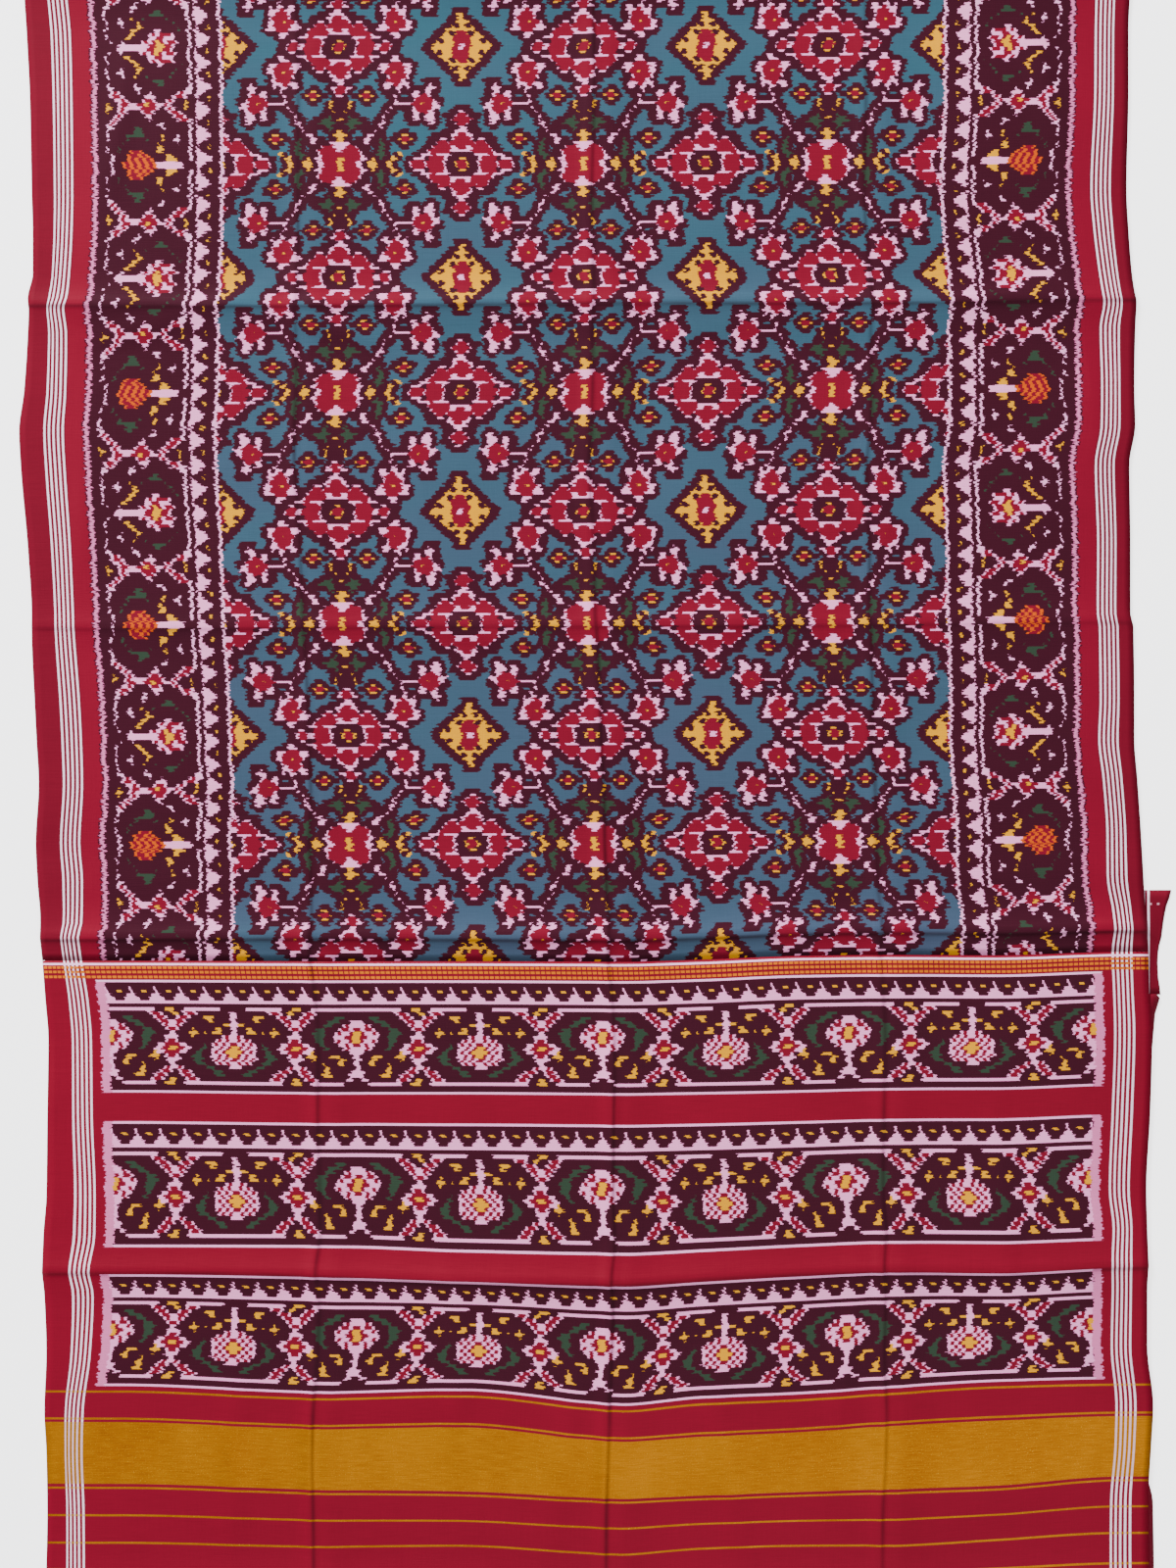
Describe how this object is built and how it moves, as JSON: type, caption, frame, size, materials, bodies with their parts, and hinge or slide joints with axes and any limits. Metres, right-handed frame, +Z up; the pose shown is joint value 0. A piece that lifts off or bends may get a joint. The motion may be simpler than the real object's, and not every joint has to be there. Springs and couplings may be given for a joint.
{
  "type": "patola saree laid flat, folded over",
  "caption": "Patola silk saree, laid flat and folded over, with ikat field, borders, pallu bands and a zari band.",
  "frame": {"origin": "centre of the cloth's footprint, on the surface it lies on", "axes": "+X towards the right selvedge as pictured, +Y towards the top fold, +Z up"},
  "size_m": [1.175, 2.328, 0.0117],
  "materials": {
    "field_silk": "satin weave silk, ikat dyed",
    "pallu_silk": "satin weave silk with zari bands",
    "under_silk": "satin weave silk"
  },
  "bodies": {
    "root": {"body_stretch": "field_silk", "pallu_stretch": "pallu_silk", "folded_layers": "under_silk", "inner_end": "under_silk"}
  },
  "joints": []
}
